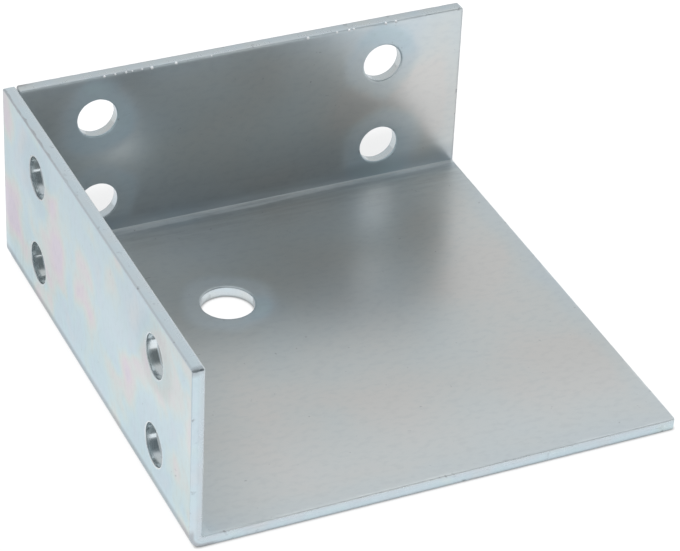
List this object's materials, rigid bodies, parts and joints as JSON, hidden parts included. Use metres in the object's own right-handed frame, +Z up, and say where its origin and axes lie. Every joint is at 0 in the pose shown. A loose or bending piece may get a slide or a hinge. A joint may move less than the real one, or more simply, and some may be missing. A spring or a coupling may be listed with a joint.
{
  "type": "bed corner bracket",
  "caption": "Folded sheet steel bracket: a square base plate with upright flanges along neighbouring edges, round screw holes in the flanges and a round leg bolt hole in the base.",
  "frame": {"origin": "on the leg bolt hole's axis, at the underside of the base plate", "axes": "+Z up out of the base plate along the leg bolt hole, +X to the right along the back flange, +Y from the front edge to the back flange"},
  "size_m": [0.1, 0.1009, 0.04],
  "materials": {
    "zinc_plated_steel": "bright zinc plating with a faint bluish passivation, satin"
  },
  "bodies": {
    "root": {"corner_bracket": "zinc_plated_steel"}
  },
  "joints": []
}
